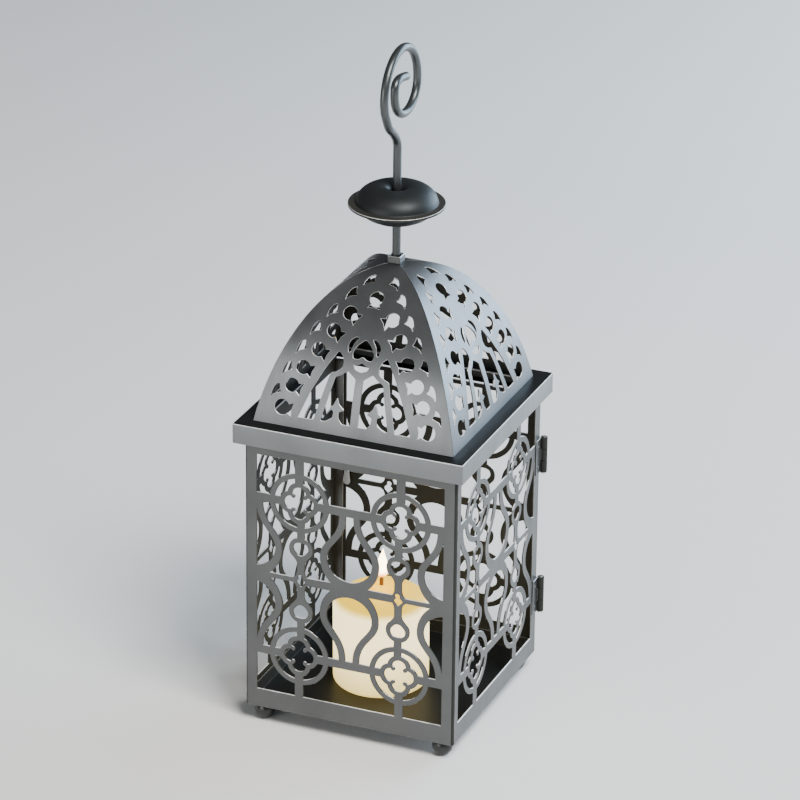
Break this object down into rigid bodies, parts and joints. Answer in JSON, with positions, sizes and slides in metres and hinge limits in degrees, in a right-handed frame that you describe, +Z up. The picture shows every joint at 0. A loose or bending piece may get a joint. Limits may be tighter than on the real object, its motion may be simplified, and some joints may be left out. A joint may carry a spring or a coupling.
{
  "type": "candle lantern",
  "caption": "Square pierced-metal candle lantern with fretwork walls, a hinged back door, a four-petal dome roof, a disc finial and a swivelling wire hook; it holds a pillar candle.",
  "frame": {"origin": "on the surface the feet stand on, midway between the four feet", "axes": "+Z up towards the hook, -Y out of the front wall, +Y out of the hinged back door, +X towards the hinge side"},
  "size_m": [0.13, 0.13, 0.3727],
  "materials": {
    "gunmetal_paint": "satin gunmetal paint on thin steel sheet, slightly worn on cut edges",
    "black_satin_paint": "smooth black satin paint",
    "plated_steel": "dull plated steel",
    "candle_wax": "ivory paraffin wax, smooth, faintly translucent",
    "wick_fibre": "charred braided cotton",
    "candle_flame": "glowing flame, seen only in the visual model"
  },
  "bodies": {
    "lantern": {"base_tray": "gunmetal_paint", "front_panel": "gunmetal_paint", "right_panel": "gunmetal_paint", "left_panel": "gunmetal_paint", "door_stop_strip": "gunmetal_paint", "hinge_lower_frame_leaf": "gunmetal_paint", "hinge_upper_frame_leaf": "gunmetal_paint", "cornice": "gunmetal_paint", "dome_petal_front": "gunmetal_paint", "dome_petal_right": "gunmetal_paint", "dome_petal_back": "gunmetal_paint", "dome_petal_left": "gunmetal_paint", "dome_collar": "gunmetal_paint", "foot_front_left": "black_satin_paint", "foot_front_right": "black_satin_paint", "foot_rear_left": "black_satin_paint", "foot_rear_right": "black_satin_paint", "hinge_lower_pin": "plated_steel", "hinge_upper_pin": "plated_steel"},
    "door": {"door_panel": "gunmetal_paint", "hinge_lower_door_leaf": "gunmetal_paint", "hinge_upper_door_leaf": "gunmetal_paint"},
    "latch": {"latch_knob": "plated_steel", "latch_tongue": "plated_steel"},
    "hanger": {"hanger_hook": "black_satin_paint", "finial_cap": "black_satin_paint", "finial_saucer": "black_satin_paint", "hanger_washer": "plated_steel", "hanger_nut": "plated_steel"},
    "candle": {"candle_body": "candle_wax", "candle_wick": "wick_fibre"}
  },
  "joints": [
    {"name": "door_swing", "type": "hinge", "parent": "lantern", "child": "door", "pos_m": [0.0619, 0.0619, 0.09], "axis": [0, 0, -1], "range_deg": [0, 200]},
    {"name": "latch_turn", "type": "hinge", "parent": "door", "child": "latch", "pos_m": [-0.052, 0.06, 0.0929], "axis": [0, -1, 0], "range_deg": [0, 90]},
    {"name": "hook_swivel", "type": "hinge", "parent": "lantern", "child": "hanger", "pos_m": [0, 0, 0.25], "axis": [0, 0, 1], "continuous": true},
    {"name": "candle_lift", "type": "slide", "parent": "lantern", "child": "candle", "axis": [0, 0, 1], "range_m": [0, 0.045]}
  ]
}
